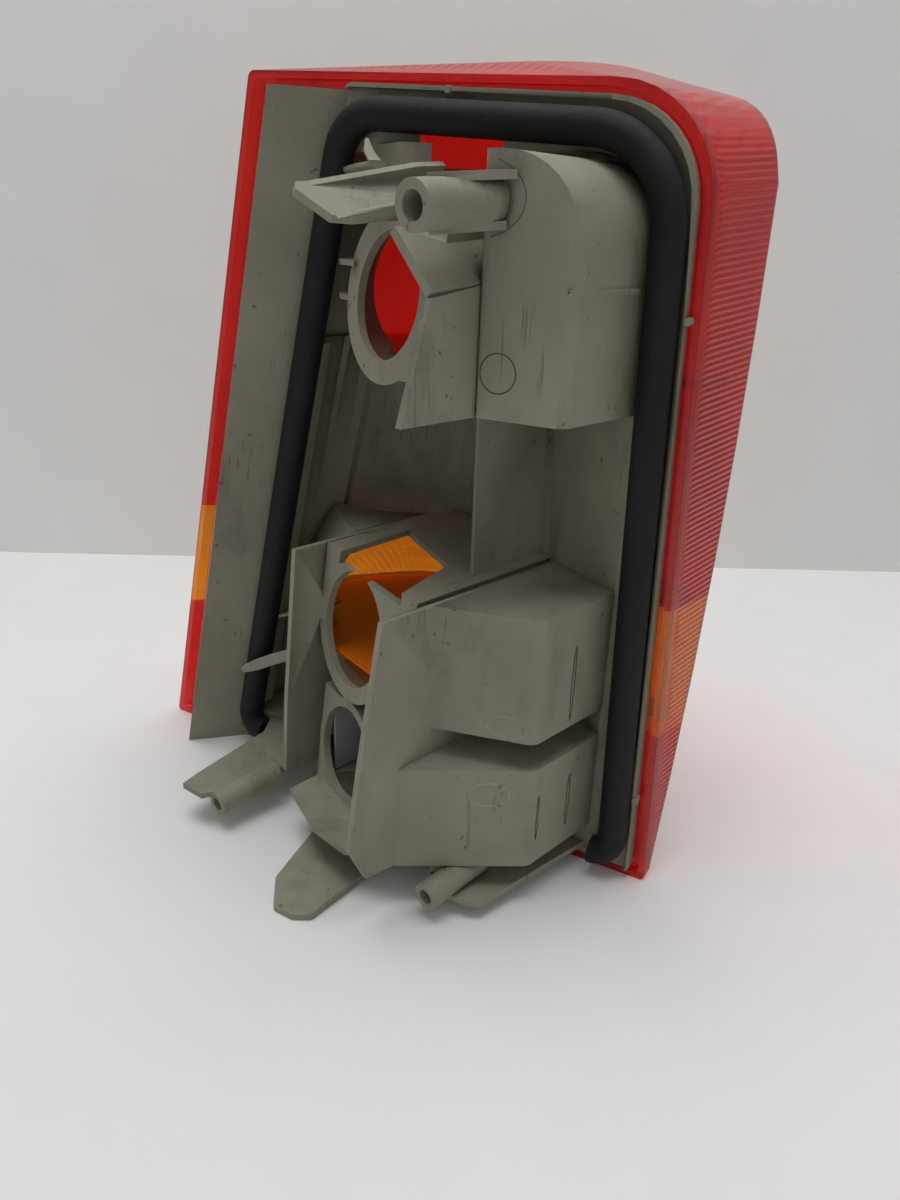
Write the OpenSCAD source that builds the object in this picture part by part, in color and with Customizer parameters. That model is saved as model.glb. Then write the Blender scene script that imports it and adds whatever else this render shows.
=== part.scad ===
/* Rear lamp cluster of a car, for the right-hand corner, seen here without its bulb carrier.
   A lens in red, amber and clear plastic is welded to a moulded housing, and a rubber seal lies
   round the back of the housing. X runs inboard, Y runs out of the car through the lens, Z is up.
   Y = 0 is the back face of the housing flange. The origin is the mouth of the upper screw boss. */

/* [Lens] */
// Width of the lens along its bottom edge
lens_w = 255; // [245:1:265]
// Height of the lens at its outboard side
lens_h = 292; // [284:1:300]
// Lean of the outboard edge of the rim, in degrees from upright
rim_lean = 12.9; // [12:0.1:13.5]
// Lean of the inboard edge of the rim, in degrees from upright
inboard_lean = 2; // [1:0.1:2.5]
// Fall of the top edge of the rim towards the inboard side, in degrees
top_fall = 2.9; // [2:0.1:3.5]
// Radius of the upper inboard corner of the rim
rim_corner_r = 36; // [30:1:42]
// Thickness of the lens wall
lens_wall = 2.75; // [2.5:0.25:3]
// Depth of the lens at its inboard edge, at the bottom
inboard_depth = 5; // [4:0.5:8]
// Depth of the lens at its inboard edge, below the upper shoulder
shoulder_depth = 41; // [38:1:44]
// How far the inboard edge bows forwards between them
inboard_bow = 6; // [3:0.5:8]
// Radius of the upper inboard corner at the front
shoulder_r = 28; // [24:1:32]
// Slope of the rear-facing side of the lens, in degrees
front_slope = 31; // [29:0.5:33]
// Slope of the outboard side of the lens, in degrees
side_slope = 48; // [46:0.5:50]
// Slope of the inboard wall of the lens, in degrees
inboard_slope = 15.5; // [13:0.5:17]
// Rounding of the upright outboard corner
outboard_r = 40; // [36:1:42]
// Rounding of the upper front edge
top_edge_r = 8; // [6:0.5:10]
// Rise of the top of the lens from the rim forwards, in degrees
top_slope = 3; // [2.5:0.5:4]
// Lower edge of the amber band
amber_low = 66; // [62:1:70]
// Upper edge of the amber band
amber_high = 117; // [112:1:119]
// Clear window: inboard edge, outboard edge, lower edge and upper edge
window = [-30, -130, 16, 60]; // [-140:1:64]
// Width of the inner ledge that carries the housing
ledge_w = 6; // [5:0.5:8]
// Thickness of the inner ledge
ledge_t = 3; // [2:0.25:3.5]

/* [Housing] */
// Thickness of the flange
flange_t = 2.5; // [2:0.25:3]
// Gap round the flange inside the lens wall
flange_gap = 1; // [0.8:0.1:1.4]
// Height of the lip round the flange
lip_h = 3; // [2:0.25:3.5]
// Thickness of the lip
lip_t = 1.4; // [1.2:0.1:1.8]
// Thickness of the moulded walls
wall = 2.4; // [2:0.1:2.8]
// Turn of the mould's draw direction from the car's axis, in degrees
mould_turn = 14.5; // [13:0.5:16]
// Rise of the mould's draw direction, in degrees
mould_rise = 5; // [4:0.5:6]
// Turn of the bulb carrier seats, in degrees
seat_turn = 28; // [27:0.5:29]
// Tilt of the bulb carrier seats, in degrees
seat_tilt = 8; // [7:0.5:9]
// Thickness of the bulb carrier seats
seat_t = 3; // [2.5:0.25:3.5]
// Depth of the chambers behind the flange
chamber_depth = 40; // [38:1:42]
// Inboard edge of the recess
recess_x = -25.5; // [-27:0.5:-25]
// Lower end of the recess
recess_low = 18; // [17.5:0.5:20]
// Upper end of the recess
recess_high = 265; // [263:0.5:266]
// Radius of the outboard end of the recess
recess_r = 45.5; // [44:0.5:47]
// Place of that radius from the inboard edge, and its depth
recess_centre = [-104.5, 10]; // [-106:0.5:12]
// Height of the step in the outboard side of the recess
recess_step_z = 197; // [194:1:200]

/* [Bulb openings] */
// Radius of the upper bulb hole
upper_hole_r = 21.3; // [20:0.1:22]
// Centre of the upper bulb hole
upper_hole = [-107, -28.5, 218.3]; // [-110:0.1:220]
// Radius of the amber bulb hole
amber_hole_r = 23; // [22:0.1:24]
// Centre of the amber bulb hole
amber_hole = [-119, -33, 93]; // [-120:0.1:95]
// Radius of the lower bulb hole
clear_hole_r = 19; // [18:0.1:20]
// Height of the centre of the lower bulb hole
clear_hole_z = 41; // [40:0.1:42]
// Width of the rim round each hole
hole_rim = 7.2; // [5:0.1:7.5]

/* [Screw bosses and tongues] */
// Outer diameter of the screw bosses
boss_d = 14; // [12:0.1:15]
// Diameter of the screw holes
screw_d = 8.2; // [7:0.1:9]
// Depth of the screw holes
screw_depth = 22; // [18:1:24]
// Mouth of the upper screw boss
upper_boss = [-71.4, -70.5, 245.5]; // [-75:0.1:250]
// Outer diameter of the lower bosses
low_boss_d = 10.5; // [10:0.1:12]
// Diameter of the holes in the lower bosses
low_screw_d = 6; // [5:0.1:7]
// Thickness of the tongues
tongue_t = 2.5; // [2:0.1:3]

/* [Seal] */
// Radius of the seal's round section
seal_r = 5.6; // [5:0.1:5.8]
// How far the seal is flattened where it lies on the flange
seal_flat = 0.8; // [0.5:0.1:1]

/* [Hidden] */
$fn = 64;
eps = 0.01;
over = 1;
seat_gap = 0.3;
beige = [0.60, 0.58, 0.51];
lens_red = [0.78, 0.06, 0.05];
lens_orange = [0.95, 0.50, 0.08];
rubber_black = [0.06, 0.06, 0.07];

// Unit vectors in plan: the mould's draw direction, and each side's outward normal
draw = [sin(mould_turn), cos(mould_turn)];
front_normal = [sin(front_slope), cos(front_slope)];
side_normal = [-sin(side_slope), cos(side_slope)];
inboard_normal = [cos(inboard_slope), -sin(inboard_slope)];

// Corner points of the rim, seen from behind as X and Z
inboard_top = rim_meet();
rim_points = [
    [-lens_w, 0],
    [-lens_w + lens_h * tan(rim_lean), lens_h],
    inboard_top,
    [0, 0]
];
rim_radii = [2, 3, rim_corner_r, 2];

// Where the top edge of the rim meets its inboard edge
function rim_meet() =
    let (x0 = -lens_w + lens_h * tan(rim_lean))
    let (z = (lens_h + x0 * tan(top_fall)) / (1 - tan(inboard_lean) * tan(top_fall)))
    [-z * tan(inboard_lean), z];

function unit(v) = v / norm(v);
// Outward normal of the edge from a to b of an outline that runs clockwise
function edge_normal(a, b) = let (d = unit(b - a)) [-d[1], d[0]];
// Place of a point that lies d inside two sides that meet at p
function inside(p, n1, n2, d) = p - d * (n1 + n2) / (1 + n1 * n2);
// An outline moved inwards by its own distance at each side; it runs clockwise
function inset(pts, d) = [
    for (i = [0 : len(pts) - 1])
        let (n = len(pts), a = pts[(i + n - 1) % n], p = pts[i], b = pts[(i + 1) % n])
        let (d1 = is_list(d) ? d[(i + n - 1) % n] : d, d2 = is_list(d) ? d[i] : d)
        let (n1 = edge_normal(a, p), n2 = edge_normal(p, b), s = n1[0] * n2[1] - n1[1] * n2[0])
        p - [d1 * n2[1] - d2 * n1[1], d2 * n1[0] - d1 * n2[0]] / s
];
// An outline with each corner rounded by its own radius
function rounded(pts, radii, steps = 8) = [
    for (i = [0 : len(pts) - 1])
        let (n = len(pts), p = pts[i], r = is_list(radii) ? radii[i] : radii)
        let (u = unit(pts[(i + n - 1) % n] - p), v = unit(pts[(i + 1) % n] - p))
        let (half = acos(u * v) / 2, c = p + unit(u + v) * r / sin(half))
        let (s = p + u * r / tan(half) - c, side = u[0] * v[1] - u[1] * v[0] > 0 ? 1 : -1)
        for (k = [0 : steps])
            let (a = side * (180 - 2 * half) * k / steps * -1)
            c + [s[0] * cos(a) - s[1] * sin(a), s[0] * sin(a) + s[1] * cos(a)]
];

// A plate parallel to the rim, from depth y0 forwards by t, outlined in X and Z
module rim_plate(y0, t) translate([0, y0 + t, 0]) rotate([90, 0, 0]) linear_extrude(t) children();
// A prism outlined in plan, from height z0 to z1
module plan_prism(z0, z1) translate([0, 0, z0]) linear_extrude(z1 - z0) children();
// The frame of things drawn with the mould: Y is the draw direction
module along_draw(p) translate(p) rotate([mould_rise, 0, -mould_turn]) children();
// The frame of a bulb carrier seat: Y runs into the lamp, square to the seat
module seat_frame(p) translate(p) rotate([-seat_tilt, 0, -seat_turn]) children();
// An upright wall along the draw direction: outline as distance back from p, and height
module draw_wall(p, t = wall) translate(p) rotate([90, 0, -90 - mould_turn]) linear_extrude(t) children();
// The whole lamp is shifted so that the mouth of the upper boss is the origin
module on_datum() translate(-upper_boss) children();

/* Lens */

edge_r = 4;
shoulder_z = inboard_top[1] + 2 - shoulder_r;
// Where the inboard wall would meet the rear-facing side at height z, which bows as it rises
function inboard_corner(z) =
    let (t = z / shoulder_z, y = inboard_depth + (shoulder_depth - inboard_depth) * t + 4 * inboard_bow * t * (1 - t))
    [y * tan(inboard_slope) - z * tan(inboard_lean), y];

// Where the lines that lie at distances a and b along the normals m and n meet
function meet(m, a, n, b) = [a * n[1] - b * m[1], m[0] * b - n[0] * a] / (m[0] * n[1] - m[1] * n[0]);
// Where the rear-facing side through p meets the outboard side from the rim at height z
function outboard_corner(p, z) =
    meet(front_normal, front_normal * p, side_normal, side_normal * [-lens_w + z * tan(rim_lean), 0]);

// Centre of the rounded outboard corner at the bottom, at the top and at height z
low_centre = inside(outboard_corner(inboard_corner(0), 0), front_normal, side_normal, outboard_r);
high_corner = outboard_corner(inboard_corner(shoulder_z), lens_h);
high_centre = inside(high_corner, front_normal, side_normal, outboard_r);
high_z = lens_h + high_centre[1] * tan(top_slope) - top_edge_r;
function lens_centre(z) = low_centre + (high_centre - low_centre) * z / high_z;

// The outer form of the lens, or the space inside it when shrunk by d
module lens_form(d) {
    shoulder = inboard_corner(shoulder_z) + [-front_normal[1], front_normal[0]] * shoulder_r;
    hull() {
        rim_plate(d > 0 ? -over : 0, over) polygon(rounded(inset(rim_points, d), rim_radii));
        translate([low_centre[0], low_centre[1], d]) cylinder(r = outboard_r - d, h = 1, $fn = 48);
        for (z = [edge_r : (shoulder_z - edge_r) / 6 : shoulder_z])
            translate(concat(inside(inboard_corner(z), inboard_normal, front_normal, edge_r), z))
                sphere(edge_r - d, $fn = 16);
        translate(concat(shoulder - front_normal * edge_r, shoulder_z)) rotate([90, 0, -front_slope])
            rotate_extrude($fn = 48) translate([shoulder_r - edge_r, 0]) circle(edge_r - d, $fn = 12);
        translate([high_centre[0], high_centre[1], high_z])
            rotate([top_slope, 0, 0]) rotate_extrude($fn = 48) translate([outboard_r - top_edge_r, 0]) circle(top_edge_r - d, $fn = 16);
    }
}

// Distances of the ledge and its opening from the rim: outboard, top, inboard and bottom
ledge_outer = [2.2 * lens_wall, lens_wall / 2, lens_wall / 2, lens_wall / 2];
ledge_inner = [2.2 * lens_wall + ledge_w, lens_wall + ledge_w, lens_wall + ledge_w, lens_wall + ledge_w];

module lens_shell() {
    difference() {
        lens_form(0);
        lens_form(lens_wall);
    }
    rim_plate(flange_t, ledge_t) difference() {
        polygon(rounded(inset(rim_points, ledge_outer), rim_radii));
        polygon(rounded(inset(rim_points, ledge_inner), rim_radii));
    }
}

module band(z0, z1) translate([-lens_w - over, -over, z0]) cube([2 * lens_w, lens_w, z1 - z0]);

module window_block() translate([window[1], 2 * inboard_depth, window[2]])
    cube([window[0] - window[1], lens_w / 2, window[3] - window[2]]);

module lens_red_upper() color(lens_red, 0.8) on_datum() intersection() {
    lens_shell();
    band(amber_high, lens_h + outboard_r);
}

module lens_amber() color(lens_orange, 0.8) on_datum() intersection() {
    lens_shell();
    band(amber_low, amber_high);
}

module lens_red_lower() color(lens_red, 0.8) on_datum() difference() {
    intersection() {
        lens_shell();
        band(-over, amber_low);
    }
    window_block();
}

module lens_clear() color("white", 0.6) on_datum() intersection() {
    lens_shell();
    window_block();
}

/* Housing */

// Foot of the outboard panel, where it rises from the flange, and its free edge, at the bottom
panel_foot = [-207.6, 0];
panel_edge = [-228, -20];
panel_return = [-243.5, flange_t];
rim_gap = lens_wall + flange_gap;
flange_low = rim_gap - 0.5;
flange_high = lens_h - rim_gap - 2;
flange_points = [
    [panel_foot[0] + flange_low * tan(rim_lean), flange_low],
    [panel_foot[0] + flange_high * tan(rim_lean), flange_high],
    inboard_top - [rim_gap, rim_gap + 1.5],
    [-rim_gap - 2, flange_low]
];
flange_radii = [1, 4, rim_corner_r - 5, 3];

module flange_outline(d = 0) polygon(rounded(inset(flange_points, d), flange_radii));

// Small moulded pips on the lip, placed as X and Z
pips = [[-10.8, 215.6], [-6.9, 37.5], [-100.4, 282.5]];
pip_d = 2.6;
pip_t = 0.6;

module flange() {
    rim_plate(0, flange_t) flange_outline();
    rim_plate(-lip_h, lip_h + eps) difference() {
        flange_outline();
        flange_outline([-over, lip_t, lip_t, -over]);
    }
    for (p = pips) translate([p[0], -lip_h - pip_t, p[1]]) rotate([-90, 0, 0]) cylinder(d = pip_d, h = lip_h + pip_t);
}

// The outboard panel leans with the rim: a face rising from the flange, and a return that
// comes forward again and stands on the lens ledge
module panel() intersection() {
    multmatrix([[1, 0, tan(rim_lean), 0], [0, 1, 0, 0], [0, 0, 1, 0], [0, 0, 0, 1]])
        plan_prism(-over, lens_h) polygon([
            panel_foot + [0, flange_t],
            panel_foot,
            panel_edge,
            panel_return,
            panel_return + [wall, 0],
            panel_edge + [0.6 * wall, 1.4 * wall],
            panel_foot + [-wall, flange_t]
        ]);
    union() {
        translate([-lens_w, -lens_w, 0]) cube([lens_w, lens_w, lens_h - 8]);
        translate([-lens_w, -over, flange_low]) cube([lens_w, lens_w, lens_h - 8 - flange_low]);
    }
}

// The recess between the chambers, or its outer form when grown by g
floor_slope = asin(recess_r / norm(recess_centre)) + atan2(recess_centre[1], -recess_centre[0]);
floor_normal = [sin(floor_slope), cos(floor_slope)];
recess_reach = 160;
lean_pivot = 119.5;
module recess_form(g, z0, z1) intersection() {
    plan_prism(z0, z1) polygon([
        [recess_x + g, -over],
        [recess_x + g, 0],
        [recess_x - recess_reach * floor_normal[1], recess_reach * floor_normal[0]] + g * floor_normal,
        [recess_x - lens_w, recess_reach * floor_normal[0]],
        [recess_x - lens_w, -over]
    ]);
    translate([0, 0, lean_pivot]) rotate([0, rim_lean, 0]) translate([0, 0, -lens_w])
        linear_extrude(2 * lens_w) translate([recess_x, 0]) {
            translate(recess_centre) circle(recess_r + g);
            translate([recess_centre[0], -over]) square([lens_w, recess_centre[1] + recess_r + g + over]);
            translate([recess_centre[0] - recess_r - g, -over])
                square([recess_r + g, recess_centre[1] + over]);
        }
}

module behind_flange() translate([-2 * lens_w, -2 * lens_w, -lens_w]) cube([3 * lens_w, 2 * lens_w, 3 * lens_w]);

module recess_shell() difference() {
    union() {
        recess_form(wall, recess_low - wall, recess_step_z);
        intersection() {
            recess_form(2 * wall, recess_step_z - wall, recess_high + wall);
            upper_corner(-2 * wall);
        }
    }
    behind_flange();
}

module recess_space() {
    recess_form(0, recess_low, recess_step_z + over);
    intersection() {
        recess_form(wall, recess_step_z, recess_high);
        upper_corner(-wall);
    }
}

/* Chambers: boxes drawn along the mould direction behind the recess, each with its own rear face */

// Heights of the lower and upper faces of the chambers
upper_z = [184, 262];
mid_z = [71.5, 119.5];
low_z = [18, 60];

// Plan of a chamber: its inboard wall starts just inside the recess edge, its rear face is turned
crease_x = recess_x + 0.3;
function chamber_plan(depth, width, turn) =
    let (crease = [crease_x, 0] - draw * depth, left = crease - [cos(turn), sin(turn)] * width)
    [crease, left, floor_point(left, 2 * wall), floor_point(crease, 2 * wall)];
// Where the line from p along the draw direction reaches g in front of the recess floor
function floor_point(p, g) =
    let (q = [recess_x, 0] + floor_normal * g)
    p + draw * ((q - p) * floor_normal) / (draw * floor_normal);

upper_plan = chamber_plan(chamber_depth, 31, 1);
mid_plan = chamber_plan(chamber_depth + 1, 41, 13.5);
low_plan = chamber_plan(chamber_depth - 1, 52.5, 32);
crease_r = 5;

module chamber(z, plan) plan_prism(z[0], z[1]) polygon(rounded(plan, [crease_r, 1, 1, 1]));

// The upper chamber is rounded at its upper inboard corner, seen along the draw direction
upper_corner_r = 24;
module upper_corner(d) translate([crease_x, 0, 0]) rotate([0, 0, -mould_turn]) rotate([90, 0, 0])
    linear_extrude(4 * lens_w, center = true) polygon(rounded([
        [-lens_w, -over],
        [-lens_w, upper_z[1] - d],
        [-d, upper_z[1] - d],
        [-d, -over]
    ], [1, 1, upper_corner_r - d, 1]));

module chamber_space(z, plan) plan_prism(z[0] + wall, z[1] - wall)
    polygon(rounded(inset(plan, [wall, wall, -2 * wall, wall]), [crease_r - wall, 1, 1, 1]));

// A round bulb bucket along the draw direction
module round_body(p, r) along_draw(p) rotate([90, 0, 0]) translate([0, 0, -4 * r]) cylinder(r = r, h = 6 * r);
// Everything in front of a seat, from depth t on
module seat_space(p, t) seat_frame(p) translate([-lens_w, t, -lens_w]) cube([2 * lens_w, lens_w, 2 * lens_w]);
// Everything behind a surface that lies g in front of the recess floor
module recess_front(g) {
    recess_form(g, recess_low - wall, recess_high + wall);
    recess_form(g + wall, recess_step_z, recess_high + wall);
    behind_flange();
}
module seat_hole(p, r) seat_frame(p) rotate([90, 0, 0]) cylinder(r = r, h = 8 * seat_t, center = true);

// The part of a bucket that flares towards the lens: a cone whose sides pass through the edges of
// the hole of radius r at p. Its axis is turned outboard and rises; t is the wall round it, and
// it is kept between the heights z0 and z1
flare_angle = 28;
flare_length = 110;
flare_back = [0.70, -1.235];
flare_start = 12;
module flare_body(p, r, turn, rise, z0, z1, t) intersection() {
    translate(p + concat(flare_back * r, -norm(flare_back) * r * tan(rise))) rotate([rise, 0, turn]) rotate([-90, 0, 0])
        translate([0, 0, flare_start - t / sin(flare_angle)])
            cylinder(r1 = flare_start * tan(flare_angle), r2 = flare_length * tan(flare_angle), h = flare_length - flare_start);
    slab(z0, z1);
}
module slab(z0, z1) translate([-lens_w, -lens_w, z0]) cube([2 * lens_w, 2 * lens_w, z1 - z0]);

// Centre of the lower bulb hole, in the same seat plane as the amber one
clear_hole = amber_hole + [1, (clear_hole_z - amber_hole[2]) * tan(seat_tilt), clear_hole_z - amber_hole[2]];

// The straight outboard flank of a bucket, just inside its round side, and the body between a
// bucket and its collar's inboard wall at x1
flank_inset = 0.5;
module side_body(p, a, b, z0, z1) plan_prism(z0, z1) polygon([
    a - draw * lens_w / 4,
    a + draw * lens_w / 2,
    b + draw * lens_w / 2,
    b - draw * lens_w / 4
]);
module flank_body(p, r, z0, z1) side_body(p, plan_of(p) - across * (r - flank_inset), plan_of(p), z0, z1);
module block_body(p, x1, z0, z1) side_body(p, plan_of(p), [x1, 0], z0, z1);
function plan_of(p) = [p[0], p[1]];
across = [draw[1], -draw[0]];

// The parts of a bucket, cut off behind by the seat at p, whose face they keep or leave by depth t
module seated(p, t) intersection() {
    union() children();
    seat_space(p, t);
}

// Upper collar: an inboard wall with a slanted free edge, and a roof that climbs from its top
collar_depth = 20.5;
collar_foot_depth = 32;
upper_wall_top = [226, 221];
upper_roof = [[0, 0], [-14.5, 17], [-14.5 - wall, 15], [-wall, -wall]];
module upper_collar() {
    foot = upper_plan[1];
    draw_wall([foot[0], foot[1], 0]) polygon([
        [-12, upper_z[0]],
        [-12, upper_wall_top[0]],
        [collar_depth, upper_wall_top[1]],
        [collar_foot_depth, upper_z[0]]
    ]);
    along_draw([foot[0], foot[1], upper_wall_top[0] - 1]) rotate([90, 0, 0])
        translate([0, 0, -12]) linear_extrude(collar_depth + 12) polygon(upper_roof);
}

// Lower collar: two upright walls and a floor round the amber and clear bulb seats
low_floor_z = 20;
module lower_collar() {
    draw_wall([-73.5, -49, 0]) polygon([
        [-75, low_floor_z - wall],
        [-75, mid_z[1]],
        [23, mid_z[1]],
        [30.5, 80],
        [38, 36],
        [30, low_floor_z],
        [8, low_floor_z - wall]
    ]);
    draw_wall([-143.4, -13.3, 0]) polygon([
        [-60, low_floor_z + 2],
        [-60, mid_z[1]],
        [18, mid_z[1]],
        [24.5, 53.6],
        [26.5, low_floor_z],
        [12, low_floor_z - wall]
    ]);
    plan_prism(low_floor_z - wall, low_floor_z) polygon([
        [-140.5, -48],
        [-115.6, -64.2],
        [-97.9, -68.9],
        [-81, -64],
        [-74, -40],
        [-134, -20]
    ]);
}

// Small break in the rim of the seat, where a snap has torn out of the top plate
module top_cut() plan_prism(mid_z[1] - 2 * wall, mid_z[1] + 20) polygon([
    [-133.5, -40],
    [-132.9, -22.6],
    [-125.4, 17.6],
    [-89.6, -10.2],
    [-88.7, -44.8],
    [-88.7, -60]
]);

/* Bosses, tongues and ribs */

// A hollow boss: its mouth is at p and it runs along the draw direction
module boss(p, d, length) along_draw(p) rotate([-90, 0, 0]) cylinder(d1 = d, d2 = d + 0.6, h = length);
module boss_bore(p, d, depth) along_draw(p) rotate([90, 0, 0]) translate([0, 0, -depth])
    cylinder(d = d, h = depth + over);

upper_boss_length = 32;
module upper_boss_ribs() along_draw(upper_boss) {
    for (side = [[5.5, 10], [-5.5 - tongue_t, 6]])
        translate([0, 0, side[0]]) linear_extrude(tongue_t)
            polygon([[0, 6], [side[1], upper_boss_length], [0, upper_boss_length]]);
}

// Outboard tongue beside the upper boss, with a rib along each edge
module upper_tongue() along_draw([-92, -38, 247.5]) rotate([0, 37, 0]) {
    translate([0, -42, 0]) linear_extrude(tongue_t)
        polygon([[-8, 2], [-5, 0], [6.5, 5], [8, 12], [8, 60], [-8, 60]]);
    for (x = [-8, 8 - 2])
        translate([x + 2, 0, tongue_t]) rotate([0, -90, 0]) linear_extrude(2)
            polygon([[0, -36], [5, 4], [5, 16], [0, 16]]);
}

low_left_boss = [-166.5, -64.7, 12];
low_right_boss = [-63, -66, 11];
tongue_z = 14;
module low_left_tongue() {
    plan_prism(tongue_z, tongue_z + tongue_t) polygon([
        [-192, flange_t],
        [-184, -14],
        [-185, -57],
        [-184.5, -65.8],
        [-172.5, -67.4],
        [-162, -54],
        [-157.5, -33.6],
        [-150, -20],
        [-134, flange_t]
    ]);
    boss(low_left_boss, low_boss_d, 30);
}

module low_right_web() {
    plan_prism(6, 6 + tongue_t) polygon([
        [-26, flange_t],
        [-45.4, -55],
        [-50.7, -57],
        [-66, -58],
        [-80, -30],
        [-70, flange_t]
    ]);
    plan_prism(8, 18) polygon([
        [-70.8, -49.7],
        [-54.9, -49],
        [-52, -30],
        [-66, -30]
    ]);
    boss(low_right_boss, low_boss_d, 30);
}

mid_tongue_z = 1.5;
module mid_tongue() intersection() {
    plan_prism(-over, 4 * tongue_t) polygon(rounded([
        [-127.8, -50.9],
        [-124, 0],
        [-81, 0],
        [-92, -41.1],
        [-98.8, -88.3],
        [-105, -92],
        [-114, -91.6],
        [-122.5, -80]
    ], [2, 0.5, 0.5, 2, 2, 2, 2, 2]));
    translate([-lens_w, 0, 0]) rotate([90, 0, 90]) linear_extrude(lens_w) polygon([
        [0, mid_tongue_z],
        [-78, mid_tongue_z],
        [-90, 0],
        [-93, 0],
        [-93, tongue_t],
        [-78, mid_tongue_z + tongue_t],
        [-6, mid_tongue_z + tongue_t],
        [0, mid_tongue_z + 2 * tongue_t]
    ]);
}

// Small fins: one on the inboard wall of the upper chamber, two beside the upper bucket, and a
// block over that bucket
fin_t = 1.8;
module fins() {
    plan_prism(223, 223 + fin_t) polygon([
        [-36.6, -39.4],
        [-25.8, -10.8],
        [-26.2, -1],
        [-32, -1]
    ]);
    for (z = [226.5, 214.5]) plan_prism(z, z + fin_t) polygon([
        [-128, -18],
        [-138, -12],
        [-145.5, -3],
        [-145.5, 6],
        [-130, 6]
    ]);
    plan_prism(upper_flare_top - wall, 266.5) polygon([
        [-130, -1],
        [-113, -11],
        [-105, -5],
        [-114, 8],
        [-126, 8]
    ]);
}

// Opening over the upper chamber, through which the lens shows
module top_opening() plan_prism(upper_z[1] + 0.3, 270.4) polygon([
    [-112, -1],
    [-80, -1],
    [-107, 60],
    [-150, 60]
]);

// Upright web across the open part of the recess
module recess_web() draw_wall([-66, 25.5, 0], 2) polygon([
    [-15, mid_z[1] - over],
    [-15, upper_z[0] + over],
    [41, upper_z[0] + over],
    [41, mid_z[1] - over]
]);

// Walls that close each lamp chamber against the lens, just clear of it: their outline in plan
function partition_plan(z) =
    let (c = lens_centre(z), q = inboard_corner(z), d = lens_wall + seat_gap)
    let (front = min(front_normal * c + outboard_r, front_normal * q) - d)
    let (side = side_normal * c + outboard_r - d, inboard = inboard_normal * q - d)
    let (back = flange_t + ledge_t + seat_gap)
    [
        meet(inboard_normal, inboard, [0, 1], back),
        meet(inboard_normal, inboard, front_normal, front),
        meet(front_normal, front, side_normal, side),
        meet(side_normal, side, [0, 1], back)
    ];

module partitions() difference() {
    for (z = [mid_z[0], mid_z[1] - wall, recess_step_z - wall])
        plan_prism(z, z + wall) polygon(rounded(partition_plan(z), [1, 3, outboard_r - lens_wall, 1]));
    recess_form(0.5 * wall, recess_low - wall, recess_high + wall);
}

// Turn of the flares in degrees, fall of the amber one, top of the upper one, and the lower end
// of the upper seat
upper_flare_turn = 8;
amber_flare_turn = 15;
amber_drop = -8;
upper_flare_top = 250;
upper_hole_low = upper_hole[2] - 0.9 * (upper_hole_r + hole_rim);

block_x = -66;
module upper_bucket(t) seated(upper_hole, t > 0 ? seat_t : 0) {
    round_body(upper_hole, upper_hole_r + hole_rim - t);
    flare_body(upper_hole, upper_hole_r, upper_flare_turn, 0, recess_step_z - wall + t, upper_flare_top - t, wall - t);
    block_body(upper_hole, block_x - t, upper_hole_low + t, upper_flare_top - 1 - t);
}

amber_rim = 5.2;
module amber_bucket(t) seated(amber_hole, t > 0 ? seat_t : 0) {
    intersection() {
        round_body(amber_hole, amber_hole_r + amber_rim - t);
        slab(0, mid_z[1] - t);
    }
    flank_body(amber_hole, amber_hole_r + amber_rim - t, amber_hole[2], mid_z[1] - t);
    flare_body(amber_hole, amber_hole_r, amber_flare_turn, amber_drop, mid_z[0] + t, mid_z[1] - t, wall - t);
    block_body(amber_hole, block_x - t, mid_z[0] + t, mid_z[1] - t);
}

clear_rim = 3;
module clear_bucket(t) seated(clear_hole, t > 0 ? seat_t : 0) {
    round_body(clear_hole, clear_hole_r + clear_rim - t);
    flank_body(clear_hole, clear_hole_r + clear_rim - t, low_z[0] + t, low_z[1] + 2 - t);
    block_body(clear_hole, block_x - t, low_z[0] + t, low_z[1] - t);
}

// What stands behind the recess floor
module rear_solids() {
    intersection() {
        chamber(upper_z, upper_plan);
        upper_corner(0);
    }
    chamber(mid_z, mid_plan);
    chamber(low_z, low_plan);
    upper_bucket(0);
    amber_bucket(0);
    clear_bucket(0);
    upper_collar();
    lower_collar();
    boss(upper_boss, boss_d, upper_boss_length);
    upper_boss_ribs();
    upper_tongue();
    recess_web();
    fins();
}

// The hollows of the chambers and the buckets, which open through the recess floor
module rear_hollows() {
    intersection() {
        chamber_space(upper_z, upper_plan);
        upper_corner(wall);
    }
    chamber_space(mid_z, mid_plan);
    chamber_space(low_z, low_plan);
    upper_bucket(wall);
    amber_bucket(wall);
    clear_bucket(wall);
}

module housing() color(beige) on_datum() difference() {
    union() {
        difference() {
            union() {
                flange();
                panel();
                recess_shell();
                partitions();
            }
            recess_space();
        }
        intersection() {
            rear_solids();
            recess_front(0.5 * wall);
        }
        low_left_tongue();
        low_right_web();
        mid_tongue();
    }
    intersection() {
        rear_hollows();
        recess_front(wall + over);
    }
    seat_hole(upper_hole, upper_hole_r);
    seat_hole(amber_hole, amber_hole_r);
    seat_hole(clear_hole, clear_hole_r);
    top_cut();
    top_opening();
    boss_bore(upper_boss, screw_d, screw_depth);
    boss_bore(low_left_boss, low_screw_d, screw_depth);
    boss_bore(low_right_boss, low_screw_d, screw_depth);
}

/* Seal */

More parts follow.
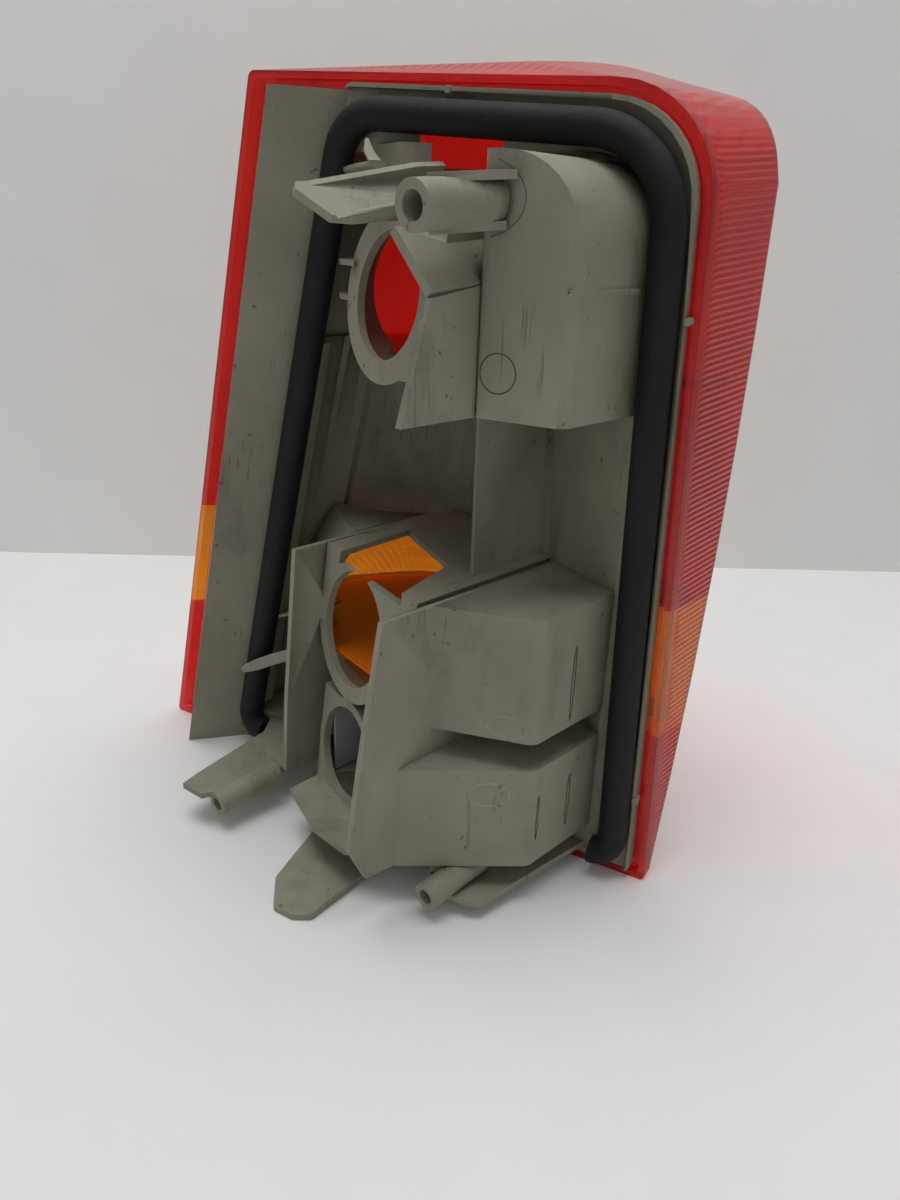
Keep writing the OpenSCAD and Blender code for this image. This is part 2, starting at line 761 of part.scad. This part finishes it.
// Angle of the outboard panel at its foot, and the distances of the seal's centre line from the
// edges of the flange: outboard, top, inboard and bottom
panel_angle = atan2(panel_foot[1] - panel_edge[1], panel_foot[0] - panel_edge[0]);
seal_centre_y = seal_r - seal_flat;
seal_inset = [
    (seal_r + seat_gap - seal_centre_y * cos(panel_angle)) / sin(panel_angle),
    seal_r + lip_t + 2.4,
    seal_r + lip_t + seat_gap,
    seal_r + 1.3
];
seal_radii = [8.4, 16.4, 29.4, 8.4];

// The corners are a hair thinner than the straights, which run a little way into them
corner_step = 0.02;
straight_lap = 0.05;
module seal_section(d = 0) intersection() {
    translate([0, seal_centre_y]) circle(seal_r - d);
    translate([-seal_r, 0]) square(2 * seal_r);
}

// A bar of the section along an outline with rounded corners, open between its last and first one
module seal_ring(pts, radii) for (i = [0 : len(pts) - 1]) {
    n = len(pts);
    p = pts[i];
    q = pts[(i + 1) % n];
    u = unit(pts[(i + n - 1) % n] - p);
    v = unit(q - p);
    w = unit(pts[(i + 2) % n] - q);
    half = acos(u * v) / 2;
    half_q = acos(w * -v) / 2;
    start = p + v * radii[i] / tan(half);
    end = q - v * radii[(i + 1) % n] / tan(half_q);
    centre = p + unit(u + v) * radii[i] / sin(half);
    if (i < len(pts) - 1) translate([start[0], start[1], 0]) rotate([90, 0, 90 + atan2(v[1], v[0])])
        translate([0, 0, -straight_lap]) linear_extrude(norm(end - start) + 2 * straight_lap) seal_section();
    translate([centre[0], centre[1], 0]) rotate([0, 0, atan2(v[1], v[0]) + 90])
        rotate_extrude(angle = 180 - 2 * half) translate([radii[i], 0]) seal_section(corner_step);
}

module seal() color(rubber_black) on_datum() rotate([90, 0, 0])
    seal_ring(inset(flange_points, seal_inset), seal_radii);

housing();
lens_red_upper();
lens_amber();
lens_red_lower();
lens_clear();
seal();
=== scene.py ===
"""Rear lamp cluster of a car, standing on a pale floor and seen from behind.

The solids come from the frame. This file gives each of them its finish, adds the moulded marks
and the lens optics that are too fine for the solids, and sets the floor, the lights and the
camera. Lengths are in metres, in the frame's own axes: the origin is the mouth of the upper screw
boss, X runs inboard, Y runs out of the car through the lens and Z is up.
"""

import bmesh
import bpy
import numpy as np
from mathutils import Matrix, Vector


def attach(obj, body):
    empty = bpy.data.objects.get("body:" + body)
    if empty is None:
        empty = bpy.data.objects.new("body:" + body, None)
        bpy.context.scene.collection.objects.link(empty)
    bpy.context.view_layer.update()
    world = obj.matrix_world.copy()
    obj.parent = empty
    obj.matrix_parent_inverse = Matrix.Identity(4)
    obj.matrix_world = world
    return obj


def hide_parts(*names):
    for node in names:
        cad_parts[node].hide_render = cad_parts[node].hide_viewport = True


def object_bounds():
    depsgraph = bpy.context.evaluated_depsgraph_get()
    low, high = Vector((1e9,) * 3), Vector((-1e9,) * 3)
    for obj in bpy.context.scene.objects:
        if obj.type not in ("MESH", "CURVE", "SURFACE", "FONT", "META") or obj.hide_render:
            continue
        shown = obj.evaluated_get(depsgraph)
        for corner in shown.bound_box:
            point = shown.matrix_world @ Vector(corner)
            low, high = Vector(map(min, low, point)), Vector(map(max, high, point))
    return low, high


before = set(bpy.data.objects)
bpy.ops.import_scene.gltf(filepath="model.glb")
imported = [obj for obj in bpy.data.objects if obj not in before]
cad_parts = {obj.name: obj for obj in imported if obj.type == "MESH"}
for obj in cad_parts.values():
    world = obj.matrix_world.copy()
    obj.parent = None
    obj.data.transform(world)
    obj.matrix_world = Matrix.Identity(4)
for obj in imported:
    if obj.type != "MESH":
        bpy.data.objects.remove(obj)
cad_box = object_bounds()

# The lamp was measured from the lower inboard corner of its lens, in millimetres, with the flange's
# back face as Y = 0. The frame's origin lies at this point of that layout.
BOSS_MOUTH = np.array([-71.4, -70.5, 245.5])


def place(points):
    """Points of the layout in millimetres, as points of the frame in metres."""
    return (np.asarray(points, float) - BOSS_MOUTH) / 1000


def add(name, data):
    """A new object of the scene with a mesh, a light or a camera, at the frame's origin."""
    made = bpy.data.objects.new(name, data)
    bpy.context.scene.collection.objects.link(made)
    return made


# --- Housing -------------------------------------------------------------------------------------
# One injection moulding in grey-beige plastic. It is dull, a little mottled, dusty on what faces
# up, and scuffed and scratched where it was handled and pulled out of the car. Its colour also
# holds painted shade in corners and creases and a painted highlight along thin walls and rims.


class Wire:
    """An output socket of a material. Arithmetic on it adds Math nodes."""

    def __init__(self, socket):
        self.socket = socket
        self.tree = socket.id_data

    def node(self, kind, settings=(), inputs=(), out=0):
        """A new node of a kind: its settings first, then the values or wires of its sockets."""
        made = self.tree.nodes.new(kind)
        for name, value in dict(settings).items():
            setattr(made, name, value)
        for name, value in dict(inputs).items():
            if isinstance(value, Wire):
                self.tree.links.new(value.socket, made.inputs[name])
            else:
                made.inputs[name].default_value = value
        return Wire(made.outputs[out])

    def math(self, operation, *values):
        return self.node("ShaderNodeMath", {"operation": operation}, enumerate(values))

    def __add__(self, other): return self.math("ADD", self, other)
    def __radd__(self, other): return self.math("ADD", other, self)
    def __sub__(self, other): return self.math("SUBTRACT", self, other)
    def __rsub__(self, other): return self.math("SUBTRACT", other, self)
    def __mul__(self, other): return self.math("MULTIPLY", self, other)
    def __rmul__(self, other): return self.math("MULTIPLY", other, self)

    def ramp(self, low, high):
        """0 below low, 1 above high and a straight rise between them."""
        limits = {"Value": self, "From Min": low, "From Max": high}
        return self.node("ShaderNodeMapRange", inputs=limits)

    def mix(self, colour_a, colour_b):
        """colour_a where this wire is 0 and colour_b where it is 1."""
        colours = {0: self, 6: colour_a, 7: colour_b}
        return self.node("ShaderNodeMix", {"data_type": "RGBA"}, colours, 2)

    def noise(self, size, detail=3.0, roughness=0.5, stretch=(1, 1, 1)):
        """Cloudy noise whose blots are about size metres across, drawn out along some axes."""
        scale = [1 / (s * size) for s in stretch]
        scaled = self.node("ShaderNodeMapping", inputs={"Vector": self, "Scale": scale})
        return self.node("ShaderNodeTexNoise", inputs={
            "Vector": scaled, "Scale": 1.0, "Detail": detail, "Roughness": roughness})

    def axes(self):
        """The three numbers of a vector, each as a wire."""
        split = self.node("ShaderNodeSeparateXYZ", inputs={0: self}).socket.node
        return [Wire(output) for output in split.outputs]

    def bump(self, height, distance):
        """A normal tilted by a height, where a height of 1 stands distance metres proud."""
        return self.node("ShaderNodeBump", inputs={"Height": height, "Distance": distance})


def new_finish(name, **shader):
    """A material with one Principled shader: (material, shader, wire of object coordinates)."""
    material = bpy.data.materials.new(name)
    material.use_nodes = True
    principled = material.node_tree.nodes["Principled BSDF"]
    for socket, value in shader.items():
        principled.inputs[socket.replace("_", " ")].default_value = value
    coordinates = material.node_tree.nodes.new("ShaderNodeTexCoord")
    return material, principled, Wire(coordinates.outputs["Object"])


def feed(principled, **wires):
    """Joins wires to the shader's sockets."""
    for socket, wire in wires.items():
        wire.tree.links.new(wire.socket, principled.inputs[socket.replace("_", " ")])


def see_past(material, shader, at, where, colour=(1, 1, 1, 1)):
    """Makes a material a clear film of a colour where a wire is 1."""
    film = at.node("ShaderNodeBsdfTransparent", inputs={"Color": colour})
    surface = at.node("ShaderNodeMixShader", inputs={0: where, 1: Wire(shader.outputs[0]), 2: film})
    ending = material.node_tree.nodes["Material Output"]
    material.node_tree.links.new(surface.socket, ending.inputs["Surface"])


def dress(piece, material):
    """Gives every material slot of a piece the same finish."""
    for slot in piece.material_slots:
        slot.material = material


# The solid keeps a strip of the recess floor across the mouths of two lamp chambers, past the end
# of the cones that flare from their bulb openings. The copy that is shown has both cones run
# through: bulb opening and its radius, turn and rise of the cone, and the heights it is cut between.
# The amber cut stops at 106 mm, below a crescent-shaped gap that the solid has in that chamber's roof
# and that would otherwise show through.
MOUTHS = {
    "upper_mouth": ((-107, -28.5, 218.3), 21.3, 8, 0, (197.1, 240.0)),
    "amber_mouth": ((-119, -33, 93), 23, 15, -8, (74.0, 106.0)),
}


def flare(name, opening, radius, turn, rise, heights):
    """The far part of a cone whose sides pass just inside the edge of a bulb opening: apex +
    reach (axis + tan(half_angle) spoke). Bisecting planes keep it between two heights."""
    near, far, half_angle = 100, 150, np.radians(27.8)
    aside, behind = 0.70, 1.235  # the apex lies this many radii from the opening's centre
    rise, turn = np.radians(rise), np.radians(turn)
    axis = np.array([-np.sin(turn) * np.cos(rise), np.cos(turn) * np.cos(rise), np.sin(rise)])
    below = np.hypot(aside, behind) * np.tan(rise)
    apex = np.add(opening, radius * np.array([aside, -behind, -below]))
    across = np.array([np.cos(turn), np.sin(turn), 0])
    over = np.cross(across, axis)
    around = np.linspace(0, 2 * np.pi, 96, endpoint=False)[:, None]
    spoke = (np.cos(around) * across + np.sin(around) * over) * np.tan(half_angle)
    points = np.vstack([apex + reach * (axis + spoke) for reach in (near, far)])
    work = bmesh.new()
    corners = [work.verts.new(point) for point in place(points).tolist()]
    n = len(around)
    work.faces.new(corners[:n])
    work.faces.new(corners[n:])
    for i in range(n):
        j = (i + 1) % n
        work.faces.new((corners[i], corners[j], corners[n + j], corners[n + i]))
    for height, out in zip(heights, (-1, 1)):
        level = float(place([0, 0, height])[2])
        everything = work.verts[:] + work.edges[:] + work.faces[:]
        cut = bmesh.ops.bisect_plane(work, geom=everything, plane_co=(0, 0, level),
                                     plane_no=(0, 0, out), clear_outer=True)
        rim = [e for e in cut["geom_cut"] if isinstance(e, bmesh.types.BMEdge)]
        bmesh.ops.contextual_create(work, geom=rim)
    bmesh.ops.recalc_face_normals(work, faces=work.faces)
    mesh = bpy.data.meshes.new(name)
    work.to_mesh(mesh)
    work.free()
    return add(name, mesh)


def welded_copy(node, name):
    """A new object with a copy of a solid's mesh, its doubled points merged."""
    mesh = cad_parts[node].data.copy()
    mesh.name = name
    work = bmesh.new()
    work.from_mesh(mesh)
    bmesh.ops.remove_doubles(work, verts=work.verts, dist=1e-7)
    work.to_mesh(mesh)
    work.free()
    return add(name, mesh)


def cut_clear(piece, blocks):
    """Takes the blocks' space out of a piece, and smooths its shading over folds up to 19 degrees,
    which is more than the fold between two facets of its round faces."""
    for block in blocks:
        cut = piece.modifiers.new(block.name, "BOOLEAN")
        cut.operation, cut.solver, cut.object = "DIFFERENCE", "EXACT", block
    bpy.context.view_layer.update()
    cut_piece = piece.evaluated_get(bpy.context.evaluated_depsgraph_get())
    finished = bpy.data.meshes.new_from_object(cut_piece)
    piece.modifiers.clear()
    piece.data = finished
    finished.shade_smooth()
    finished.set_sharp_from_angle(angle=np.radians(19))
    for block in blocks:
        bpy.data.objects.remove(block)


moulding = welded_copy("housing", "housing_moulding")
cut_clear(moulding, [flare(name, *sizes) for name, sizes in MOUTHS.items()])
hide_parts("housing")
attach(moulding, "root")

BEIGE = (0.225, 0.214, 0.155, 1)
BEIGE_PALE = (0.285, 0.273, 0.205, 1)
# The darkest colour serves the real smudges and specks, and also the painted shade in corners.
GRIME_AND_SHADE = (0.035, 0.031, 0.022, 1)

housing_finish, shader, at = new_finish("housing_plastic", Roughness=0.5, IOR=1.46)
upward = at.node("ShaderNodeNewGeometry", out="Normal").axes()[2]
mottle = at.noise(0.045, 4.0, 0.6)
grain = at.noise(0.0012, 2.0)
dust = upward.ramp(0.3, 1.0) * at.noise(0.012, 5.0, 0.65).ramp(0.35, 0.7)
smudge = at.noise(0.028, 6.0, 0.62, (1, 1, 2.2)).ramp(0.56, 0.74)
speck = at.noise(0.0035, 2.0, 0.5).ramp(0.70, 0.76)
scratch_field = at.noise(0.0016, 1.0, 0.5, (1, 1, 22)).ramp(0.66, 0.72)
scratch = scratch_field * at.noise(0.03, 2.0).ramp(0.52, 0.62)
open_air, wall = ({"samples": 4, "inside": inside, "only_local": True} for inside in (False, True))
# Painted shade: the colour darkens towards the darkest colour where ambient occlusion finds corners
# and creases.
corner_shade = 1 - at.node("ShaderNodeAmbientOcclusion", open_air, {"Distance": 0.005}, "AO")
colour = mottle.ramp(0.3, 0.7).mix(BEIGE, BEIGE_PALE)
# Painted highlight: the colour pales along thin walls, edges and rims.
thin = 1 - at.node("ShaderNodeAmbientOcclusion", wall, {"Distance": 0.0014}, "AO")
colour = (thin.ramp(0.55, 0.95) * 0.45).mix(colour, (0.40, 0.385, 0.31, 1))
colour = (corner_shade.ramp(0.2, 0.8) * 0.8).mix(colour, GRIME_AND_SHADE)
colour = (smudge * 0.45).mix(colour, GRIME_AND_SHADE)
colour = (speck * 0.7).mix(colour, GRIME_AND_SHADE)
colour = (dust * 0.35).mix(colour, (0.42, 0.40, 0.33, 1))
colour = (scratch * 0.4).mix(colour, (0.09, 0.08, 0.06, 1))
feed(shader, Base_Color=colour, Roughness=0.44 + 0.14 * mottle + 0.18 * dust,
     Normal=at.bump(grain * 0.35 + mottle * 0.3 - scratch * 0.9, 0.00022))
dress(moulding, housing_finish)
dress(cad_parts["housing"], housing_finish)


# --- Mould marks on the chambers -----------------------------------------------------------------
# The mould left shallow marks on the chambers: plain rings on the rear faces and narrow upright
# slots on the inboard walls. Two rings share the moulding's finish; the other marks are painted dark
# for the shade that falls in them.


def swept(name, path, across, out, half_width, half_height, squareness=1.0, closed=False,
          turns=20):
    """A bar carried along a path. Its section is cos^q s half_width across + sin^q s half_height
    out, with s from 0 to 2 pi and q the squareness, 1 for an oval, less for a rounded oblong."""
    path, across, out = (np.asarray(v, float) for v in (path, across, out))
    around = np.linspace(0, 2 * np.pi, turns, endpoint=False)
    wave = [np.sign(f(around)) * np.abs(f(around)) ** squareness for f in (np.cos, np.sin)]
    across, out = (np.broadcast_to(v, path.shape)[:, None, :] for v in (across, out))
    wide, high = ((half * w)[None, :, None] for half, w in zip((half_width, half_height), wave))
    points = path[:, None, :] + across * wide + out * high
    rows = len(path)
    i, j = np.meshgrid(np.arange(rows if closed else rows - 1), np.arange(turns), indexing="ij")
    up, side = (i + 1) % rows, (j + 1) % turns
    quads = np.stack([i * turns + j, i * turns + side, up * turns + side, up * turns + j], -1)
    faces = [tuple(quad) for quad in quads.reshape(-1, 4).tolist()]
    if not closed:
        faces += [tuple(range(turns))[::-1], tuple(range((rows - 1) * turns, rows * turns))]
    mesh = bpy.data.meshes.new(name)
    mesh.from_pydata(place(points.reshape(-1, 3)).tolist(), [], faces)
    work = bmesh.new()
    work.from_mesh(mesh)
    bmesh.ops.recalc_face_normals(work, faces=work.faces)
    work.to_mesh(mesh)
    work.free()
    mesh.shade_smooth()
    mesh.set_sharp_from_angle(angle=np.radians(40))
    mesh.materials.append(housing_finish)
    bar = add(name, mesh)
    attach(bar, "root")
    return bar


def ring_mark(name, centre, normal, half_width, half_height, bead, finish, arc=(0, 2 * np.pi)):
    """A bead round an upright oval on a face, just under its surface: centre +
    half_width cos t level + half_height sin t up, for t over the arc."""
    sunk = 0.15
    normal = np.asarray(normal, float) / np.linalg.norm(normal)
    level = np.cross(normal, (0, 0, 1))
    level /= np.linalg.norm(level)
    up = np.cross(level, normal)
    closed = arc[1] - arc[0] > 6.2
    t = np.linspace(*arc, 64, endpoint=not closed)[:, None]
    path = half_width * np.cos(t) * level + half_height * np.sin(t) * up
    path = path + (np.asarray(centre) - sunk * normal)
    outward = half_height * np.cos(t) * level + half_width * np.sin(t) * up
    outward /= np.linalg.norm(outward, axis=1, keepdims=True)
    swept(name, path, outward, normal, bead, bead, 1.0, closed, 10).data.materials[0] = finish


REAR = {"upper": (0.017, -1.0, 0), "middle": (0.233, -0.972, 0), "lower": (0.53, -0.848, 0)}
INBOARD = (0.968, -0.25, 0)
# Painted shade: a dark finish stands in for the shade that falls in the rings and slots.
mark_shade, shader, at = new_finish("painted_shade_in_marks", Roughness=0.75)
patchy = at.noise(0.003, 3.0).ramp(0.35, 0.65)
feed(shader, Base_Color=patchy.mix((0.030, 0.027, 0.019, 1), (0.075, 0.068, 0.050, 1)))
ring_mark("ring_upper_chamber", (-58.4, -39.14, 198.6), REAR["upper"], 6.2, 6.2, 0.26, mark_shade)
ring_mark("ring_middle_chamber", (-45.87, -42.19, 77.0), REAR["middle"], 7.2, 4.2, 0.42,
          housing_finish)
ring_mark("ring_lower_chamber", (-48.98, -46.52, 49.9), REAR["lower"], 7.4, 4.8, 0.55,
          housing_finish)
ring_mark("ring_boss_root", (-67.4, -39.25, 248.8), REAR["upper"], 15.0, 11.0, 0.24, mark_shade,
          (np.pi - 1.2, np.pi + 1.3))
ring_mark("slot_middle_chamber", (-30.4, -20.2, 89.3), INBOARD, 0.8, 15.0, 0.34, mark_shade)
ring_mark("slot_lower_chamber_rear", (-34.1, -34.5, 38.3), INBOARD, 0.5, 9.6, 0.30, mark_shade)
ring_mark("slot_lower_chamber_front", (-29.5, -16.6, 37.7), INBOARD, 0.8, 11.5, 0.34, mark_shade)


# --- Lip of the recess and the tabs beside the seal ----------------------------------------------
# A thin lip stands along the outboard edge of the recess, beside the seal. A rib and a hooked tab
# cross it at the lower collar, and two small fins stand beside the upper tongue. All of them are
# moulded with the housing.

lip = np.linspace((-195.6, 0, 22.9), (-156.9, 0, 196.0), 24)
swept("recess_lip", lip + (0.2, 1.5, 0), (1, 0, 0), (0, 1, 0), 1.1, 4.0, 0.25)
swept("channel_rib", np.linspace((-187.5, 1, 70.5), (-158, 8, 80.5), 8), (0.2, 0, 0.98), (0, 1, 0),
      1.0, 5.0, 0.3)
tab = np.array([(-194.5, -14.4, 46.6), (-191.5, -14.2, 48.2), (-186, -13.6, 51.2),
                (-178, -12, 55.4), (-160, -10, 64.0)])
tab_widths = np.array([0.45, 0.8, 1.0, 1.0, 1.0])[:, None]
swept("hooked_tab", tab, tab_widths * (-0.45, 0, 0.89), (0, 1, 0), 2.6, 1.0, 0.4)
fin = np.array([(-134.5, -12, 257.4), (-131, -15, 257.6), (-120, -24, 258), (-108, -34, 258)])
fin_widths = np.array([0.35, 0.9, 1, 1])[:, None]
swept("rounded_fin", fin, fin_widths * (0.62, 0.78, 0), (0, 0, 1), 3.2, 0.9, 0.5)
swept("thin_fin", np.array([(-122.5, -18, 266.5), (-119, -22, 262.8), (-113, -27, 259.2)]),
      np.array([0.3, 0.8, 1])[:, None] * (0.7, 0.7, 0), (0.5, -0.5, 0.7), 2.2, 0.7, 0.5)


# --- Lens: red, amber and clear shots ------------------------------------------------------------
# One lens moulded in several shots of glossy, translucent plastic. Its inboard wall has fine
# flutes outside. Inside, its face has upright flutes, and rings round the bulb in the amber shot.


def lens_finish(name, colour, deep, passed, transmission, rings=0.0, flutes=1.0):
    """Coloured lens plastic with fine outer flutes, upright inner flutes and, where rings is more
    than 0, scalloped bands round a point below the bulb. Lamps shine through it in a colour."""
    outer_pitch, inner_pitch, band_pitch, scallop_turn = 0.0021, 0.0042, 0.0042, 0.024
    material, shader, at = new_finish(name, IOR=1.49, Transmission_Weight=transmission)
    cloud = at.noise(0.03, 3.0)
    height = cloud * 0.2
    if flutes:
        x, y, z = at.axes()
        facing = at.node("ShaderNodeNewGeometry", out="Normal").axes()
        on_wall = at.math("ABSOLUTE", facing[0]).ramp(0.78, 0.9)
        inside = facing[1].ramp(0.1, -0.1)
        along = at.math("SINE", (z - y * 0.10) * (2 * np.pi / outer_pitch)) * on_wall
        upright = at.math("SINE", x * (2 * np.pi / inner_pitch)) * (1 - on_wall)
        upright = upright * (1 - rings * inside)
        centre = place([-158, 0, 34])
        below, beside = z - centre[2], x - centre[0]
        reach = at.math("SQRT", below * below + beside * beside)
        scallop = at.math("PINGPONG", at.math("ARCTAN2", beside, below), scallop_turn) * 10
        bands = at.math("PINGPONG", reach + scallop * 0.0010, band_pitch) * 900 + scallop * 3
        bands = bands * (inside * rings)
        past_plain_strip = (y + BOSS_MOUTH[1] / 1000).ramp(0.004, 0.007)
        height = height + (along + upright + bands) * past_plain_strip * flutes * 0.5
    feed(shader, Base_Color=cloud.ramp(0.25, 0.75).mix(deep, colour), Roughness=0.14 + 0.14 * cloud,
         Normal=at.bump(height, 0.0003))
    see_past(material, shader, at, at.node("ShaderNodeLightPath", out="Is Shadow Ray"), passed)
    return material


lens_red = lens_finish("lens_red_plastic", (0.86, 0.030, 0.022, 1), (0.74, 0.016, 0.012, 1),
                       (0.95, 0.16, 0.12, 1), 0.78)
lens_amber = lens_finish("lens_amber_plastic", (0.98, 0.36, 0.03, 1), (0.94, 0.27, 0.015, 1),
                         (1.0, 0.62, 0.14, 1), 0.78, 1.0)
lens_clear = lens_finish("lens_clear_plastic", (0.86, 0.86, 0.88, 1), (0.80, 0.80, 0.83, 1),
                         (0.95, 0.95, 0.96, 1), 0.9)
for node, finish in (("lens_red_upper", lens_red), ("lens_red_lower", lens_red),
                     ("lens_amber", lens_amber), ("lens_clear", lens_clear)):
    dress(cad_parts[node], finish)


# --- Inner shelves under the lamp chambers -------------------------------------------------------
# Smooth plates, lit through the lens, show when one looks down through the bulb openings. One lies
# on the wall under each lamp chamber, and in the clear shot an upright liner stands. The red and
# amber
# of the two plates is painted light: the coloured light of the lens that falls on them and that they
# reflect.


def shelf(name, low, thick, outline, finish):
    """A plate between two heights with a plan outline, its edges rounded by a small bevel."""
    n = len(outline)
    rings = [np.column_stack([outline, np.full(n, z)]) for z in (low, low + thick)]
    sides = [(i, (i + 1) % n, n + (i + 1) % n, n + i) for i in range(n)]
    mesh = bpy.data.meshes.new(name)
    faces = sides + [tuple(range(n))[::-1], tuple(range(n, 2 * n))]
    mesh.from_pydata(place(np.vstack(rings)).tolist(), [], faces)
    mesh.materials.append(finish)
    plate = add(name, mesh)
    edge = plate.modifiers.new("edge", "BEVEL")
    edge.width, edge.segments = 0.0003, 2
    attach(plate, "root")


# Painted light: the plates are coloured red and amber for the lens light that falls on them and that
# they reflect.
red_light_paint = lens_finish("shelf_painted_red_light", (0.86, 0.030, 0.022, 1), (0.74, 0.016, 0.012, 1),
                         (0.95, 0.16, 0.12, 1), 0.45, flutes=0.0)
amber_light_paint = lens_finish("shelf_painted_amber_light", (0.95, 0.30, 0.02, 1), (0.88, 0.24, 0.012, 1),
                           (1.0, 0.62, 0.14, 1), 0.45, flutes=0.0)
shelf("amber_shelf", 74.0, 1.0,
      [(-137, -20), (-98, -37), (-80, -39), (-66, 22), (-64, 52), (-128, 84), (-150, 80),
       (-172, 62), (-185, 34), (-184, 27)], amber_light_paint)
shelf("red_shelf", 197.1, 1.0,
      [(-119, -9), (-95, -29), (-79, -34), (-64, 24), (-66, 60), (-116, 82), (-140, 74),
       (-150, 50), (-156, 38)], red_light_paint)


pale_liner, shader, at = new_finish("liner_clear_plastic", Roughness=0.28, IOR=1.49)
cloud = at.noise(0.02, 2.0).ramp(0.3, 0.7)
feed(shader, Base_Color=cloud.mix((0.42, 0.41, 0.44, 1), (0.52, 0.50, 0.53, 1)))
shelf("clear_liner", 21.0, 36.0, [(-133.2, -27), (-132.0, -27.5), (-112.8, 51), (-114.0, 51.5)],
      pale_liner)


# --- Seal ----------------------------------------------------------------------------------------
# A bar of near-black foam rubber with a matte skin, glued round the back of the flange. It is
# dusty on top and has a faint wrinkle.

seal_finish, shader, at = new_finish("seal_rubber", Roughness=0.62, IOR=1.4)
upward = at.node("ShaderNodeNewGeometry", out="Normal").axes()[2]
dust = upward.ramp(0.1, 1.0) * at.noise(0.010, 5.0, 0.7).ramp(0.3, 0.75)
skin = at.noise(0.0016, 3.0)
wrinkle = at.noise(0.006, 2.0, 0.5, (3, 3, 1))
patchy = at.noise(0.02, 3.0).ramp(0.3, 0.7)
colour = patchy.mix((0.0035, 0.0035, 0.0040, 1), (0.0080, 0.0075, 0.0080, 1))
feed(shader, Base_Color=(dust * 0.45).mix(colour, (0.060, 0.056, 0.050, 1)),
     Roughness=0.58 + 0.2 * skin + 0.1 * dust,
     Normal=at.bump(skin * 0.4 + wrinkle * 0.6, 0.0003))
dress(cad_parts["seal"], seal_finish)


# --- Floor, wall, lights and camera --------------------------------------------------------------
# The lamp stands on a pale floor in front of a light grey wall, under a broad soft light from
# above with a weaker one from the viewer's side.

FLOOR_Z = cad_box[0][2]
floor_line = place([[-446.4, 160.2, 0], [0.8, 435.4, 0]])
along_wall = (floor_line[1] - floor_line[0]) / np.linalg.norm(floor_line[1] - floor_line[0])
into_room = np.array([along_wall[1], -along_wall[0], 0])


def sheet_of(name, corner, side_a, side_b, shade, paler):
    """A flat quad corner + u a + v b, mottled in two shades. A camera behind it sees past it."""
    corner, side_a, side_b = (np.asarray(v, float) for v in (corner, side_a, side_b))
    mesh = bpy.data.meshes.new(name)
    quad = [corner, corner + side_a, corner + side_a + side_b, corner + side_b]
    mesh.from_pydata([tuple(p) for p in quad], [], [(0, 1, 2, 3)])
    material, shader, at = new_finish(name + "_paint", Roughness=0.85)
    feed(shader, Base_Color=at.noise(0.05, 4.0).ramp(0.2, 0.8).mix(shade, paler))
    from_behind = at.node("ShaderNodeNewGeometry", out="Backfacing")
    camera_ray = at.node("ShaderNodeLightPath", out="Is Camera Ray")
    see_past(material, shader, at, from_behind * camera_ray)
    mesh.materials.append(material)
    add(name, mesh)


start = np.array([floor_line[0][0], floor_line[0][1], FLOOR_Z]) - along_wall * 3
sheet_of("floor", start, into_room * 5, along_wall * 7,
         (0.88, 0.885, 0.88, 1), (0.91, 0.915, 0.91, 1))
sheet_of("wall", start, along_wall * 7, (0, 0, 3), (0.84, 0.84, 0.82, 1), (0.87, 0.87, 0.85, 1))

world = bpy.data.worlds.new("room")
bpy.context.scene.world = world
world.use_nodes = True
background = world.node_tree.nodes["Background"].inputs
background["Color"].default_value = (1.0, 1.0, 1.0, 1)
background["Strength"].default_value = 0.29


def soft_light(name, where, aim, size, power):
    """A square soft light of a size at a point of the frame, turned towards another point."""
    lamp = bpy.data.lights.new(name, "AREA")
    lamp.size, lamp.energy = size, power
    light = add(name, lamp)
    light.location = where
    light.rotation_euler = (Vector(aim) - Vector(where)).to_track_quat("-Z", "Y").to_euler()


middle = (np.asarray(cad_box[0]) + np.asarray(cad_box[1])) / 2
soft_light("ceiling_light", middle + (-0.1, 0.1, 1.3), middle, 1.2, 17)
soft_light("window_light", middle + (0.9, -1.0, 0.6), middle, 0.9, 0.9)

camera_data = bpy.data.cameras.new("camera")
camera_data.lens, camera_data.sensor_fit, camera_data.sensor_height = 27.0, "VERTICAL", 36.0
camera_data.clip_start = 0.01
camera = add("camera", camera_data)
right, up = Vector((0.868, 0.495, 0.036)), Vector((-0.218, 0.315, 0.924))
forward = Vector((-0.446, 0.810, -0.381))
camera.rotation_euler = Matrix((right, up, -forward)).transposed().to_quaternion().to_euler()
camera.location = place([69.6, -296.64, 240.0])
bpy.context.scene.camera = camera
bpy.context.scene.view_settings.view_transform = "Standard"
